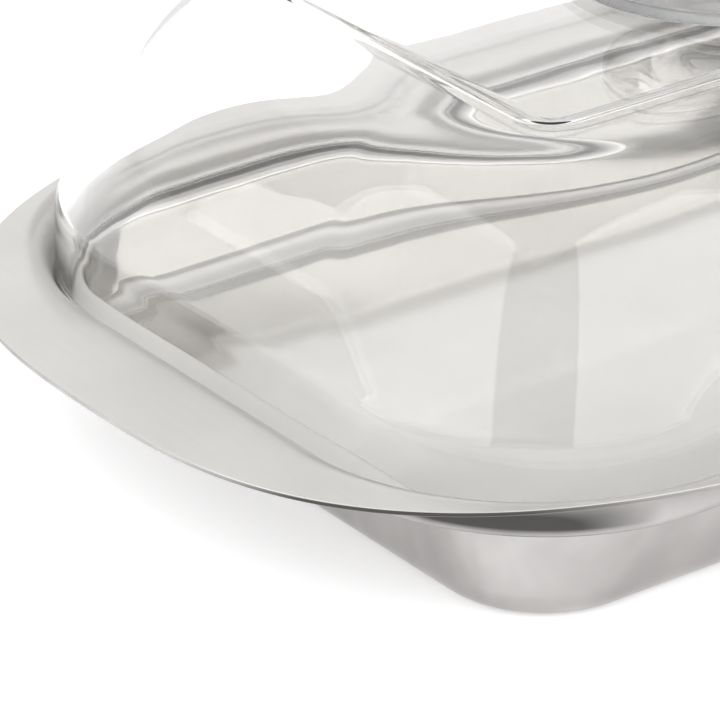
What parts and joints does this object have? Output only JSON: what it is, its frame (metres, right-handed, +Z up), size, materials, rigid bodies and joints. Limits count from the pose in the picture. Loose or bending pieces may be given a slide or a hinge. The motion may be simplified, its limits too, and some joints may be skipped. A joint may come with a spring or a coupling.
{
  "type": "butter dish",
  "caption": "Oblong pressed steel butter dish with a wing at each end and a lift-off clear domed cover with a spool knob.",
  "frame": {"origin": "middle of the tray's flat underside", "axes": "+X along the dish towards a wing, +Y across it, +Z up"},
  "size_m": [0.189, 0.124, 0.068],
  "materials": {
    "steel": "fine satin brush on the wings and outside, near-mirror in the well",
    "clear_plastic": "clear and glossy, moulded"
  },
  "bodies": {
    "dish": {"tray": "steel"},
    "lid": {"cover": "clear_plastic", "knob": "clear_plastic"}
  },
  "joints": [
    {"name": "cover_lift", "type": "slide", "parent": "dish", "child": "lid", "axis": [0, 0, 1], "range_m": [0, 0.08]}
  ]
}
